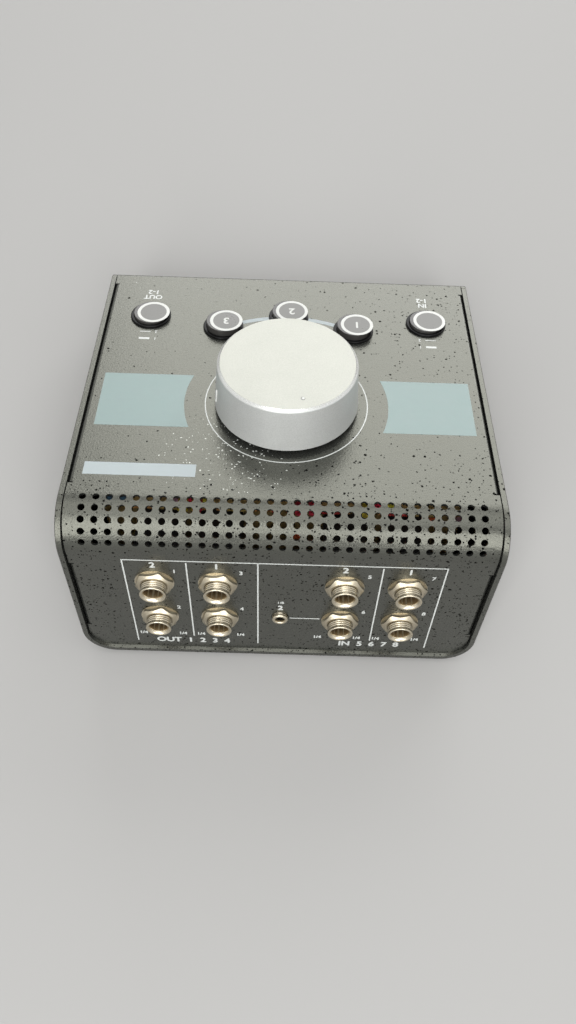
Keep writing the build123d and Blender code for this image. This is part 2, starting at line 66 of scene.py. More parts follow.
def start_finish(name, colour, roughness, metallic=0.0, specular=0.5):
    """A new material, with its steady values set on the shader's own sockets."""
    finish = bpy.data.materials.new(name)
    finish.use_nodes = True
    shader = finish.node_tree.nodes["Principled BSDF"]
    shader.inputs["Base Color"].default_value = (*colour, 1.0)
    shader.inputs["Roughness"].default_value = roughness
    shader.inputs["Metallic"].default_value = metallic
    shader.inputs["Specular IOR Level"].default_value = specular
    return finish


def add_node(finish, kind, wires=None, **settings):
    """Adds a shader node. Wires gives its inputs, each a number, a colour or another output."""
    made = finish.node_tree.nodes.new("ShaderNode" + kind)
    for name, value in settings.items():
        setattr(made, name, value)
    for socket, value in (wires or {}).items():
        if isinstance(value, bpy.types.NodeSocket):
            finish.node_tree.links.new(value, made.inputs[socket])
        else:
            made.inputs[socket].default_value = value
    return made


def reckon(finish, operation, *terms):
    """The output of a Math node."""
    return add_node(finish, "Math", dict(enumerate(terms)), operation=operation).outputs[0]


def between(finish, value, low, high, to_low=0.0, to_high=1.0):
    """Value carried from the range low..high to the range to_low..to_high, and kept inside it."""
    wires = {"Value": value, 1: low, 2: high, 3: to_low, 4: to_high}
    return add_node(finish, "MapRange", wires).outputs["Result"]


def blend(finish, first, second, share):
    """Share of the first value, and of the second value the rest."""
    rest = reckon(finish, "MULTIPLY", second, 1 - share)
    return reckon(finish, "MULTIPLY_ADD", first, share, rest)


def mix_colours(finish, share, first, second):
    """The first colour where share is 0, the second where it is 1."""
    return add_node(finish, "Mix", {0: share, 6: first, 7: second}, data_type="RGBA").outputs[2]


def shade(colour, times=1.0):
    """A colour made darker or lighter, with the fourth value that sockets take."""
    return (*(min(1.0, times * part) for part in colour), 1)


def wire(finish, socket, output):
    """Joins an output to one of the shader's sockets."""
    shader = finish.node_tree.nodes["Principled BSDF"]
    finish.node_tree.links.new(output, shader.inputs[socket])


def object_places(finish):
    return add_node(finish, "TexCoord").outputs["Object"]


def noise(finish, places, size, detail=2.0):
    """Soft noise from 0 to 1 whose lumps are about size metres across."""
    wires = {"Vector": places, "Scale": 1 / size, "Detail": detail}
    return add_node(finish, "TexNoise", wires).outputs["Fac"]


def raise_surface(finish, height, depth):
    """Bumps the surface by height, from 0 to 1, times depth in metres."""
    bump = add_node(finish, "Bump", {"Height": height, "Distance": depth, "Strength": 1.0})
    wire(finish, "Normal", bump.outputs["Normal"])


def spatter(finish, places, spacing, radius, share):
    """Dots of uneven size: 1 inside a dot and 0 outside, in share of the cells."""
    soft_edge = 0.05
    cells = add_node(finish, "TexVoronoi", {"Vector": places, "Scale": 1 / spacing})
    lots = add_node(finish, "SeparateColor", {"Color": cells.outputs["Color"]})
    edge = reckon(finish, "MULTIPLY", lots.outputs["Green"], radius / spacing)
    inside = reckon(finish, "SUBTRACT", edge, cells.outputs["Distance"])
    kept = reckon(finish, "LESS_THAN", lots.outputs["Red"], share)
    return reckon(finish, "MULTIPLY", between(finish, inside, 0.0, soft_edge), kept)


def dress(node_name, finish):
    """Gives a CAD node its finish."""
    mesh = nodes[node_name].data
    mesh.materials.clear()
    mesh.materials.append(finish)


paint_grey = (0.024, 0.025, 0.023)
paint_black = (0.004, 0.004, 0.004)
glint_white = (0.55, 0.57, 0.54)
paint_shine = (0.99, 1.0, 0.85)
paint_depth = 0.00006
dot_gloss_loss = 0.4
dot_rise = 1.2
ragged_scale = 2200.0
ragged_reach = 0.0009
glints_centre = (0.0175, 0.022, 0.0666)

case_paint = start_finish("case_paint", paint_grey, roughness=0.25, specular=0.95)
paint_shader = case_paint.node_tree.nodes["Principled BSDF"]
paint_shader.inputs["Specular Tint"].default_value = shade(paint_shine)
places = object_places(case_paint)
ragged_wires = {"Vector": places, "Scale": ragged_scale, "Detail": 2.0}
ragged = add_node(case_paint, "TexNoise", ragged_wires)
shift_wires = {0: ragged.outputs["Color"], 1: (0.5, 0.5, 0.5)}
shift = add_node(case_paint, "VectorMath", shift_wires, operation="SUBTRACT")
reach_wires = {0: shift.outputs[0], 1: (ragged_reach, ragged_reach, ragged_reach), 2: places}
reach = add_node(case_paint, "VectorMath", reach_wires, operation="MULTIPLY_ADD")
ragged_places = reach.outputs[0]

axes = add_node(case_paint, "SeparateXYZ", {"Vector": places})
to_rear = between(case_paint, axes.outputs["Y"], 0.018, 0.048, to_low=0.05, to_high=0.72)
to_left = between(case_paint, axes.outputs["X"], -0.06, 0.02, to_low=0.22, to_high=0.0)
broad_patches = noise(case_paint, places, size=0.030)
patches = between(case_paint, broad_patches, 0.35, 0.65, to_low=0.5, to_high=1.5)
crowding = reckon(case_paint, "MULTIPLY", reckon(case_paint, "ADD", to_rear, to_left), patches)
large_dots = spatter(case_paint, ragged_places, spacing=0.0019, radius=0.00056, share=crowding)
small_dots = spatter(case_paint, ragged_places, spacing=0.0010, radius=0.00036, share=crowding)
dots = reckon(case_paint, "MAXIMUM", large_dots, small_dots)

# White specks spread round a spot behind the knob: painted highlights, glints of light given as white colour in
# the coat.
from_glints = add_node(
    case_paint, "VectorMath", {0: places, 1: glints_centre}, operation="DISTANCE"
).outputs["Value"]
glint_share = between(case_paint, from_glints, 0.008, 0.030, to_low=0.85, to_high=0.05)
painted_glints = spatter(case_paint, ragged_places, spacing=0.0010, radius=0.00036, share=glint_share)

peel = noise(case_paint, places, size=0.0006, detail=3.0)
cloud = noise(case_paint, places, size=0.012, detail=4.0)
unevenness = blend(case_paint, cloud, peel, share=0.5)
coat = mix_colours(case_paint, unevenness, shade(paint_grey, 0.6), shade(paint_grey, 1.4))
# Mixes the painted highlights of the white specks into the coat's colour.
glinting_coat = mix_colours(case_paint, painted_glints, coat, shade(glint_white))
dotted_coat = mix_colours(case_paint, dots, glinting_coat, shade(paint_black))
coat_roughness = between(case_paint, peel, 0.25, 0.75, to_low=0.18, to_high=0.32)
dotted_roughness = reckon(case_paint, "MULTIPLY_ADD", dots, dot_gloss_loss, coat_roughness)
wire(case_paint, "Base Color", dotted_coat)
wire(case_paint, "Roughness", dotted_roughness)
wire(case_paint, "Metallic", dots)
raise_surface(case_paint, reckon(case_paint, "MULTIPLY_ADD", dots, dot_rise, peel), paint_depth)
dress("base_tray", case_paint)

# Cover: lip, deck, perforated bend and rear panel are one folded sheet of the same steel,
# 1.2 mm thick and painted with the tray. It drops between the cheeks.
dress("top_cover", case_paint)

# Printing on the deck: silk-screened in white, pale blue-grey and a deeper teal. It is read
# from the front, where the user sits, and says no more than IN, OUT and plain figures.
# Distances run from the knob's axis to the right and to the rear.
knob_joint = next(joint for joint in frame["joints"] if joint["name"] == "volume_turn")
knob_centre = Vector(knob_joint["pos_m"])
deck_normal = Vector(knob_joint["axis"]).normalized()
across = Vector((1, 0, 0))
panel_normal = deck_normal.cross(across)
ink_height = 0.00003


def place_of(origin, x_way, y_way):
    """The matrix that carries flat work to a plane of the object."""
    z_way = x_way.cross(y_way)
    turned = Matrix((x_way, y_way, z_way)).transposed().to_4x4()
    return Matrix.Translation(origin) @ turned


def add_piece(name, mesh, finish, body, smooth=False):
    """A new piece from a bmesh, with its finish, on its body."""
    bmesh.ops.recalc_face_normals(mesh, faces=mesh.faces[:])
    made = bpy.data.meshes.new(name)
    mesh.to_mesh(made)
    mesh.free()
    for face in made.polygons:
        face.use_smooth = smooth
    made.materials.clear()
    made.materials.append(finish)
    piece = bpy.data.objects.new(name, made)
    bpy.context.scene.collection.objects.link(piece)
    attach(piece, body)
    return piece


def lay_outline(work, points):
    """Lays one closed outline as a thin film of ink."""
    top = [work.verts.new((x, y, ink_height)) for x, y in points]
    foot = [work.verts.new((x, y, ink_height / 4)) for x, y in points]
    work.faces.new(top)
    work.faces.new(foot[::-1])
    for number in range(len(points)):
        after = (number + 1) % len(points)
        work.faces.new((top[number], foot[number], foot[after], top[after]))


def lay_bar(work, left, right, low, high):
    lay_outline(work, [(left, low), (right, low), (right, high), (left, high)])


def arc(radius, start, end, steps, centre=(0.0, 0.0)):
    """Points on an arc, from the angle start to the angle end."""
    turns = [start + (end - start) * step / steps for step in range(steps + 1)]
    return [(centre[0] + radius * cos(t), centre[1] + radius * sin(t)) for t in turns]


def lay_band(work, radius, width, start, end, steps):
    """A curved band of ink, in short straight pieces that share their ends."""
    inner = arc(radius - width / 2, start, end, steps)
    outer = arc(radius + width / 2, start, end, steps)
    for number in range(steps):
        lay_outline(work, [inner[number], outer[number], outer[number + 1], inner[number + 1]])


def lay_figure(work, text, size, x, y, boldness=0.0):
    """A figure from the built-in typeface, centred on x, y and made bold by shifted copies."""
    figure = bpy.data.curves.new("figure", "FONT")
    figure.body = text
    figure.size = size
    figure.align_x = "CENTER"
    figure.align_y = "CENTER"
    figure.extrude = ink_height / 2
    lettering = bpy.data.objects.new("figure", figure)
    mesh = bpy.data.meshes.new_from_object(lettering)
    mesh.transform(Matrix.Translation((x, y, ink_height / 2)))
    layer = 0.000001
    last = (0, 0)
    for right, up in ((0, 0), (1, 0), (-1, 0), (0, 1), (0, -1)):
        step = ((right - last[0]) * boldness, (up - last[1]) * boldness, layer)
        mesh.transform(Matrix.Translation(step))
        work.from_mesh(mesh)
        last = (right, up)
    bpy.data.objects.remove(lettering)
    bpy.data.meshes.remove(mesh)


def make_ink(name, colour):
    """Screen ink: a little uneven in colour and gloss, with the coat's peel under it."""
    ink = start_finish(name, colour, roughness=0.42)
    places = object_places(ink)
    streaks = noise(ink, places, size=0.004, detail=3.0)
    wire(ink, "Base Color", mix_colours(ink, streaks, shade(colour, 0.93), shade(colour, 1.03)))
    wire(ink, "Roughness", between(ink, streaks, 0.3, 0.7, to_low=0.38, to_high=0.5))
    raise_surface(ink, noise(ink, places, size=0.0005), depth=0.00001)
    return ink


white_ink = make_ink("white_ink", (0.60, 0.62, 0.60))
window_ink = make_ink("window_ink", (0.23, 0.305, 0.295))
bar_ink = make_ink("bar_ink", (0.37, 0.42, 0.43))

deck_place = place_of(knob_centre, across, panel_normal)
window_front, window_rear = -0.0134, 0.01425
window_side = 0.0692
window_curve = 0.0379
window_steps = 12
windows = bmesh.new()
for side in (1, -1):
    edge = []
    for step in range(window_steps + 1):
        height = window_front + (window_rear - window_front) * step / window_steps
        edge.append((side * (window_curve**2 - height**2) ** 0.5, height))
    corners = [(side * window_side, window_rear), (side * window_side, window_front)]
    lay_outline(windows, edge + corners)
windows.transform(deck_place)
add_piece("deck_windows", windows, window_ink, "housing")

bar_left, bar_right = 0.0307, 0.0693
bar_front, bar_rear = 0.0323, 0.0380
arc_radius = 0.0497
arc_width = 0.0020
arc_reach = radians(31.5)
arc_start, arc_end = -pi / 2 - arc_reach, -pi / 2 + arc_reach
bars = bmesh.new()
lay_bar(bars, bar_left, bar_right, bar_front, bar_rear)
lay_band(bars, arc_radius, arc_width, arc_start, arc_end, steps=32)
bars.transform(deck_place)
add_piece("deck_bars", bars, bar_ink, "housing")

ring_radius = 0.0301
ring_width = 0.0004
dash_x = 0.0572
dash_length = 0.0042
dash_figure_x = 0.0529
word_size = 0.0036
word_boldness = 0.00012
word_row, pair_row = -0.0610, -0.0643
deck_marks = bmesh.new()
lay_band(deck_marks, ring_radius, ring_width, 0, 2 * pi, steps=120)
for side in (1, -1):
    left = side * dash_x - dash_length / 2
    for rear, thickness, figure in ((-0.0385, 0.0004, "2"), (-0.0343, 0.0011, "1")):
        lay_bar(deck_marks, left, left + dash_length, rear - thickness / 2, rear + thickness / 2)
        lay_figure(deck_marks, figure, 0.0022, side * dash_figure_x, rear, boldness=0.00003)
for x, word in ((-0.0558, "IN"), (0.0567, "OUT")):
    lay_figure(deck_marks, word, word_size, x, word_row, word_boldness)
    lay_figure(deck_marks, "1-2", word_size, x, pair_row, word_boldness)
deck_marks.transform(deck_place)
add_piece("deck_marks", deck_marks, white_ink, "housing")

# Printing on the rear panel: white lines that frame the two groups of jacks, with plain
# figures and the words IN and OUT. Distances run from the small jack, to the right as seen
# from behind, and up.
small_jack = next(mount for mount in record["mounts"] if mount["name"] == "mini_input_jack")
panel_face = min(v.co.dot(panel_normal) for v in nodes["jack_washers"].data.vertices)


def on_panel(mount):
    """A jack's own place: its axis where it crosses the panel's outer face."""
    axis = Vector(mount["pos_m"])
    to_face = panel_face - axis.dot(panel_normal)
    return place_of(axis + panel_normal * to_face, -across, deck_normal)


panel_place = on_panel(small_jack)
line_width = 0.0005
frame_foot, frame_top = -0.0201, 0.0344
frame_left, frame_right = -0.0551, 0.0572
group_line = -0.0083
dividers = (-0.0331, 0.0352)
divider_foot, divider_top = -0.0157, 0.0332
link_left, link_right = 0.0036, 0.0150
link_height = -0.0007
panel_lines = bmesh.new()
lay_bar(panel_lines, frame_left, frame_right, frame_top - line_width, frame_top)
for x in (frame_left, group_line, frame_right):
    lay_bar(panel_lines, x - line_width / 2, x + line_width / 2, frame_foot, frame_top)
for x in dividers:
    lay_bar(panel_lines, x - line_width / 2, x + line_width / 2, divider_foot, divider_top)
link_foot, link_top = link_height - line_width / 2, link_height + line_width / 2
lay_bar(panel_lines, link_left, link_right, link_foot, link_top)
panel_lines.transform(panel_place)
add_piece("panel_lines", panel_lines, white_ink, "housing")

pair_height = 0.0313
plug_height = -0.0140
plug_offset = 0.0076
panel_marks = bmesh.new()
for x, figure in ((-0.0449, "2"), (-0.0227, "1"), (0.0222, "2"), (0.0448, "1")):
    lay_figure(panel_marks, figure, 0.0042, x, pair_height, boldness=0.00018)
    for plug_x in (x - plug_offset, x + plug_offset):
        lay_figure(panel_marks, "1/4", 0.0025, plug_x, plug_height, boldness=0.00012)
for row, height in enumerate((0.0278, 0.0047)):
    for column, x in enumerate((-0.0375, -0.0142, 0.0309, 0.0533)):
        figure = str(1 + column * 2 + row)
        lay_figure(panel_marks, figure, 0.0028, x, height, boldness=0.00010)
for words, size, x, height, boldness in (
    ("2", 0.0038, 0.0, 0.0061, 0.00018),
    ("1/8", 0.0020, 0.0, 0.0096, 0.00005),
    ("OUT  1  2  3  4", 0.0045, -0.0335, -0.0190, 0.00018),
    ("IN  5  6  7  8", 0.0045, 0.0350, -0.0185, 0.00018),
):
    lay_figure(panel_marks, words, size, x, height, boldness)
panel_marks.transform(panel_place)
add_piece("panel_marks", panel_marks, white_ink, "housing")

# Screws and feet: six black countersunk screws hold the cover's flanges to the cheeks, and
# four rubber feet are stuck under the tray.


def make_plain(name, colour, roughness, metallic, size, depth, specular=0.5):
    """A finish with fine grain: its colour, gloss and height vary over lumps of that size."""
    finish = start_finish(name, colour, roughness, metallic, specular)
    places = object_places(finish)
    fine = noise(finish, places, size, detail=3.0)
    patch_size = 14 * size
    broad = noise(finish, places, patch_size, detail=2.0)
    both = blend(finish, broad, fine, share=0.5)
    low, high = roughness * 0.85, roughness * 1.15
    wire(finish, "Base Color", mix_colours(finish, both, shade(colour, 0.88), shade(colour, 1.12)))
    wire(finish, "Roughness", between(finish, both, 0.25, 0.75, low, high))
    raise_surface(finish, fine, depth)
    return finish


black_oxide = make_plain(
    "black_oxide_steel", (0.02, 0.02, 0.021), 0.35, metallic=0.6, size=0.0004, depth=0.00001
)
foot_rubber = make_plain(
    "foot_rubber", (0.022, 0.022, 0.022), 0.75, metallic=0.0, size=0.0005, depth=0.00004
)
dress("cover_screws", black_oxide)
dress("rubber_feet", foot_rubber)

# Boards and small parts: two brown paper-phenolic boards, hung on steel standoffs and joined by
# a grey ribbon. Lacquered resistors, red and yellow capacitors and ten small film parts are
# soldered to the jack board, and show as coloured spots behind the perforation.
board_brown = make_plain(
    "board_brown", (0.36, 0.25, 0.10), 0.45, metallic=0.0, size=0.0008, depth=0.00001
)
zinc_steel = make_plain(
    "zinc_steel", (0.62, 0.62, 0.60), 0.32, metallic=1.0, size=0.0006, depth=0.000006
)
black_nylon = make_plain(
    "black_nylon", (0.018, 0.018, 0.018), 0.45, metallic=0.0, size=0.0005, depth=0.00001
)
ribbon_grey = make_plain(
    "ribbon_grey", (0.42, 0.43, 0.44), 0.5, metallic=0.0, size=0.0009, depth=0.00002
)


def make_lacquer(name, colours, pitch):
    """Lacquer whose colour is drawn anew for each part along the board."""
    finish = start_finish(name, colours[0], roughness=0.3)
    places = object_places(finish)
    axes = add_node(finish, "SeparateXYZ", {"Vector": places})
    past_zero = 100.5
    turn = reckon(finish, "DIVIDE", axes.outputs["X"], pitch)
    number = reckon(finish, "FLOOR", reckon(finish, "ADD", turn, past_zero))
    lot = add_node(finish, "TexWhiteNoise", {"W": number}, noise_dimensions="1D").outputs["Value"]
    ramp = add_node(finish, "ValToRGB", {"Fac": lot})
    ramp.color_ramp.interpolation = "CONSTANT"
    stops = ramp.color_ramp.elements
    stops[0].color = shade(colours[0])
    stops[1].color = shade(colours[1])
    stops[1].position = 1 / len(colours)
    for step, colour in enumerate(colours[2:], start=2):
        stops.new(step / len(colours)).color = shade(colour)
    wire(finish, "Base Color", ramp.outputs["Color"])
    raise_surface(finish, noise(finish, places, size=0.0006), depth=0.00001)
    return finish


resistor_colours = ((0.55, 0.28, 0.10), (0.60, 0.06, 0.05), (0.50, 0.36, 0.12))
resistor_lacquer = make_lacquer("resistor_lacquer", resistor_colours, pitch=0.0084)
capacitor_colours = ((0.62, 0.05, 0.08), (0.62, 0.48, 0.06))
capacitor_film = make_lacquer("capacitor_film", capacitor_colours, pitch=0.005)
board_finishes = {
    "main_board": board_brown,
    "jack_board": board_brown,
    "board_standoffs": zinc_steel,
    "board_screws": zinc_steel,
    "board_headers": black_nylon,
    "ribbon_cable": ribbon_grey,
    "resistors": resistor_lacquer,
    "capacitors": capacitor_film,
}
for node_name, finish in board_finishes.items():
    dress(node_name, finish)


def join_work(whole, part):
    """Adds one bmesh to another."""
    mesh = bpy.data.meshes.new("part")
    part.to_mesh(mesh)
    part.free()
    whole.from_mesh(mesh)
    bpy.data.meshes.remove(mesh)


film_size = Matrix.Diagonal((0.0034, 0.0034, 0.0022, 1))
film_rounding = 0.15
film_stand = panel_normal * 0.0010
film_parts = (
    ("blue", (0.10, 0.20, 0.30), ((0.0630, 0.0309, 0.0525), (0.0580, 0.0310, 0.0522))),
    ("red", (0.80, 0.05, 0.10), ((0.0335, 0.0310, 0.0522), (-0.0341, 0.0307, 0.0531))),
    ("yellow", (0.75, 0.68, 0.08), ((0.0288, 0.0311, 0.0519), (-0.0389, 0.0310, 0.0523))),
    ("orange", (0.80, 0.16, 0.06), ((-0.0551, 0.0337, 0.0447), (-0.0056, 0.0379, 0.0332))),
    ("mauve", (0.40, 0.22, 0.28), ((0.0381, 0.0309, 0.0526), (-0.0649, 0.0334, 0.0457))),
)
for name, colour, spots in film_parts:
    blocks = bmesh.new()
    for spot in spots:
        block = bmesh.new()
        bmesh.ops.create_cube(block, size=1.0)
        edges = block.edges[:]
        bmesh.ops.bevel(block, geom=edges, offset=film_rounding, segments=2, affect="EDGES")
        block.transform(place_of(Vector(spot) + film_stand, across, deck_normal) @ film_size)
        join_work(blocks, block)
    lacquer = make_plain(
        name + "_lacquer", colour, 0.3, metallic=0.0, size=0.0008, depth=0.00001
    )
    add_piece(name + "_film_parts", blocks, lacquer, "housing")

# Jacks: a black moulded box on the board, and a threaded sleeve of nickel-plated brass that
# comes out through the panel, held there by a thin washer and a hexagon nut. The sleeve's mouth
# is sunk, and its brown moulded lining and three brass contacts show inside.
nickel = make_plain(
    "nickel_plate", (0.56, 0.505, 0.395), 0.27, metallic=1.0, size=0.0005, depth=0.000014
)
# A darker copy of the nickel plate for the nuts: painted shade that holds down the lamps' glare on their faces.
shaded_nut_nickel = make_plain(
    "shaded_nut_nickel", (0.47, 0.42, 0.32), 0.35, metallic=1.0, size=0.0005, depth=0.00003
)
lining_brown = make_plain(
    "lining_brown", (0.17, 0.12, 0.06), 0.5, metallic=0.7, size=0.0008, depth=0.00001
)
contact_brass = make_plain(
    "contact_brass", (0.50, 0.41, 0.26), 0.4, metallic=0.7, size=0.0006, depth=0.000006
)


def turned_rings(work, profile):
    """Faces between rings of points, whose radius and height may be functions of the angle."""
    around = 72
    made = []
    for radius, height in profile:
        ring = []
        for number in range(around):
            turn = 2 * pi * number / around
            out = radius(turn) if callable(radius) else radius
            up = height(turn) if callable(height) else height
            ring.append(work.verts.new((out * cos(turn), out * sin(turn), up)))
        made.append(ring)
    made.append(made[0])
    for ring, above in zip(made, made[1:]):
        for number in range(around):
            after = (number + 1) % around
            work.faces.new((ring[number], ring[after], above[after], above[number]))


def sleeve_mesh(place, top, foot, outside, bore, edge, mouth_radius, mouth_depth, pitch, depth):
    """A threaded sleeve along its own z, from foot to top, with a rounded lip and a sunk mouth."""

    def crest(height):
        def radius(turn):
            phase = (height / pitch - turn / (2 * pi)) % 1.0
            run_out = min(1.0, (top - edge - height) / pitch)
            return outside - depth * abs(2 * phase - 1) * run_out

        return radius

    steps = 60
    lip = 0.3 * edge
    heights = [foot + (top - edge - foot) * step / steps for step in range(steps + 1)]
    profile = [(crest(height), height) for height in heights]
    profile += [(outside - lip, top - lip), (outside - edge, top)]
    profile += [(mouth_radius, top), (bore, top - mouth_depth), (bore, foot)]
    work = bmesh.new()
    turned_rings(work, profile)
    work.transform(place)
    return work


def nut_mesh(place, foot, height, apothem, corner, hole, face, slope, turn):
    """A hexagon nut along its own z. Its corners are turned round, to a cone from the face."""
    top = foot + height
    lowest_shoulder = foot + 0.0001

    def flat(angle):
        return min(corner, apothem / cos((angle - turn) % (pi / 3) - pi / 6))

    def shoulder(angle):
        return max(lowest_shoulder, top - (flat(angle) - face) * slope)

    work = bmesh.new()
    turned_rings(work, [(flat, foot), (flat, shoulder), (face, top), (hole, top), (hole, foot)])
    work.transform(place)
    return work


nut_turns = {
    "output_2_left_jack": 12,
    "output_2_right_jack": 20,
    "output_1_left_jack": 8,
    "output_1_right_jack": 14,
    "input_2_left_jack": 0,
    "input_2_right_jack": 0,
    "input_1_left_jack": 5,
    "input_1_right_jack": 4,
}
lining_outside, lining_inside = 0.00319, 0.0031
lining_foot, lining_top, lining_lip = -0.0030, 0.0051, 0.0052
contact_radius = 0.00302
contact_middle = 0.0010
contact_thickness = 0.00016
contact_length = 0.0080
jack_sleeves = bmesh.new()
jack_nuts = bmesh.new()
jack_linings = bmesh.new()
jack_contacts = bmesh.new()
for mount in record["mounts"]:
    if mount["name"] not in nut_turns:
        continue
    place = on_panel(mount)
    sleeve = sleeve_mesh(
        place,
        top=0.0063,
        foot=-0.0032,
        outside=0.0047,
        bore=0.0032,
        edge=0.0003,
        mouth_radius=0.0041,
        mouth_depth=0.0010,
        pitch=0.0008,
        depth=0.00030,
    )
    join_work(jack_sleeves, sleeve)
    nut = nut_mesh(
        place,
        foot=0.0006,
        height=0.0022,
        apothem=0.0062,
        corner=0.0069,
        hole=0.0048,
        face=0.0055,
        slope=0.85,
        turn=radians(nut_turns[mount["name"]]),
    )
    join_work(jack_nuts, nut)
    lining = bmesh.new()
    outer_wall = [(lining_outside, lining_lip), (lining_outside, lining_foot)]
    inner_wall = [(lining_inside, lining_foot), (lining_inside, lining_top)]
    turned_rings(lining, outer_wall + inner_wall)
    lining.transform(place)
    join_work(jack_linings, lining)
    for angle, width in ((-131, 0.0005), (-97, 0.0007), (-60, 0.0005)):
        contact = bmesh.new()
        bmesh.ops.create_cube(contact, size=1.0)
        contact.transform(
            place
            @ Matrix.Rotation(radians(angle), 4, "Z")
            @ Matrix.Translation((contact_radius, 0, contact_middle))
            @ Matrix.Diagonal((contact_thickness, width, contact_length, 1))
        )
        join_work(jack_contacts, contact)
sleeves = add_piece("threaded_sleeves", jack_sleeves, nickel, "housing", smooth=True)
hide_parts("jack_sleeves")
nuts = add_piece("hexagon_nuts", jack_nuts, shaded_nut_nickel, "housing")
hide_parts("jack_nuts")
add_piece("jack_linings", jack_linings, lining_brown, "housing", smooth=True)
add_piece("jack_contacts", jack_contacts, contact_brass, "housing")
small_sleeve = sleeve_mesh(
    on_panel(small_jack),
    top=0.0016,
    foot=-0.0032,
    outside=0.0030,
    bore=0.0018,
    edge=0.0005,
    mouth_radius=0.0020,
    mouth_depth=0.0003,
    pitch=0.0005,
    depth=0.00012,
)
small = add_piece("small_threaded_sleeve", small_sleeve, nickel, "housing", smooth=True)
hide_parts("mini_jack_sleeve")
dress("jack_washers", nickel)
dress("jack_boxes", black_nylon)
dress("mini_jack_box", black_nylon)

# Potentiometer: a zinc-plated steel case on the main board, its bushing held to the deck by a
# washer and nut, with a plain aluminium shaft.
shaft_aluminium = make_plain(
    "shaft_aluminium", (0.70, 0.70, 0.69), 0.3, metallic=1.0, size=0.0005, depth=0.000004
)
dress("volume_pot", zinc_steel)
dress("pot_washer", zinc_steel)
dress("pot_nut", zinc_steel)
dress("pot_shaft", shaft_aluminium)

# Volume knob: turned from aluminium bar, blasted and clear-anodised to a fine satin, with a
# bright cut chamfer. Its pointer is a strip of white enamel in a milled slot down the side,
# standing a little proud. A grub screw holds the knob on the shaft.
knob_grain_depth = 0.000014
turning_scale = 5200.0
grain_share, cloud_share = 0.85, 0.15
cut_polish = -0.2
slope_start, slope_full = 0.0439, 0.04395
chamfer_foot, chamfer_full = 0.0191, 0.0195
top_edge, top_flat = 0.01984, 0.01988

knob_satin = start_finish("knob_satin", (0.50, 0.51, 0.48), roughness=0.5, metallic=0.1)
places = object_places(knob_satin)
from_axis = add_node(
    knob_satin, "VectorMath", {0: places, 1: tuple(knob_centre)}, operation="SUBTRACT"
).outputs[0]
along = add_node(
    knob_satin, "VectorMath", {0: from_axis, 1: tuple(deck_normal)}, operation="DOT_PRODUCT"
).outputs["Value"]
whole = add_node(knob_satin, "VectorMath", {0: from_axis}, operation="LENGTH").outputs["Value"]
whole_squared = reckon(knob_satin, "MULTIPLY", whole, whole)
along_squared = reckon(knob_satin, "MULTIPLY", along, along)
outward = reckon(knob_satin, "SQRT", reckon(knob_satin, "SUBTRACT", whole_squared, along_squared))

blast = noise(knob_satin, places, size=0.00040, detail=4.0)
cloud = noise(knob_satin, places, size=0.009, detail=3.0)
turning_path = reckon(knob_satin, "SUBTRACT", outward, along)
turning_wires = {"W": turning_path, "Scale": turning_scale, "Detail": 2.0}
turning = add_node(knob_satin, "TexNoise", turning_wires, noise_dimensions="1D").outputs["Fac"]
tool_marks = blend(knob_satin, turning, blast, share=0.35)
grain = reckon(knob_satin, "MULTIPLY", tool_marks, grain_share)
clouded_grain = reckon(knob_satin, "MULTIPLY_ADD", cloud, cloud_share, grain)
mottle = between(knob_satin, clouded_grain, 0.35, 0.65)

slope_sum = reckon(knob_satin, "ADD", outward, along)
on_slope = between(knob_satin, slope_sum, slope_start, slope_full)
upper_half = between(knob_satin, along, chamfer_foot, chamfer_full)
on_top = between(knob_satin, along, top_edge, top_flat)
below_top = reckon(knob_satin, "SUBTRACT", upper_half, on_top)
chamfer = reckon(knob_satin, "MULTIPLY", on_slope, below_top)

# The skirt gets a lighter colour and the top face a darker one of the same satin. This is painted light on the
# skirt and painted shade on the top, set for how the lamps fall on each.
lit_skirt_colour = mix_colours(
    knob_satin, mottle, shade((0.46, 0.47, 0.455)), shade((0.585, 0.595, 0.58))
)
shaded_top_colour = mix_colours(
    knob_satin, mottle, shade((0.34, 0.345, 0.308)), shade((0.43, 0.435, 0.392))
)
lit_and_shaded_satin = mix_colours(knob_satin, on_top, lit_skirt_colour, shaded_top_colour)
cut_colour = shade((0.72, 0.73, 0.71))
satin_roughness = between(knob_satin, tool_marks, 0.3, 0.7, to_low=0.36, to_high=0.52)
cut_roughness = reckon(knob_satin, "MULTIPLY_ADD", chamfer, cut_polish, satin_roughness)
wire(knob_satin, "Base Color", mix_colours(knob_satin, chamfer, lit_and_shaded_satin, cut_colour))
wire(knob_satin, "Roughness", cut_roughness)
wire(knob_satin, "Metallic", between(knob_satin, chamfer, 0.0, 1.0, to_low=0.35, to_high=0.9))
raise_surface(knob_satin, tool_marks, knob_grain_depth)
dress("volume_knob", knob_satin)
dress("knob_grub_screw", black_oxide)

pointer_turn = radians(14.0)
pointer_way = across * cos(pointer_turn) + panel_normal * sin(pointer_turn)
pointer_side = pointer_way.cross(deck_normal)
pointer_lean = 1.4 / 16.7
pointer_middle = 0.0082
pointer_face = 0.026
pointer_half_length = 0.0028
pointer_half_width = 0.00052
pointer_end_steps = 10
pointer_profile = ((1.0, -0.00028), (1.0, 0.00012), (0.8, 0.00026), (0.45, 0.00033))
enamel = make_ink("pointer_enamel", (0.76, 0.77, 0.74))
pointer_work = bmesh.new()
end_centre = pointer_half_length - pointer_half_width
pointer_rings = []
for share, height in pointer_profile:
    half_width = pointer_half_width * share
    outline = arc(half_width, pi / 2, 3 * pi / 2, pointer_end_steps, (-end_centre, 0))
    outline += arc(half_width, -pi / 2, pi / 2, pointer_end_steps, (end_centre, 0))
    pointer_rings.append([pointer_work.verts.new((x, y, height)) for x, y in outline])
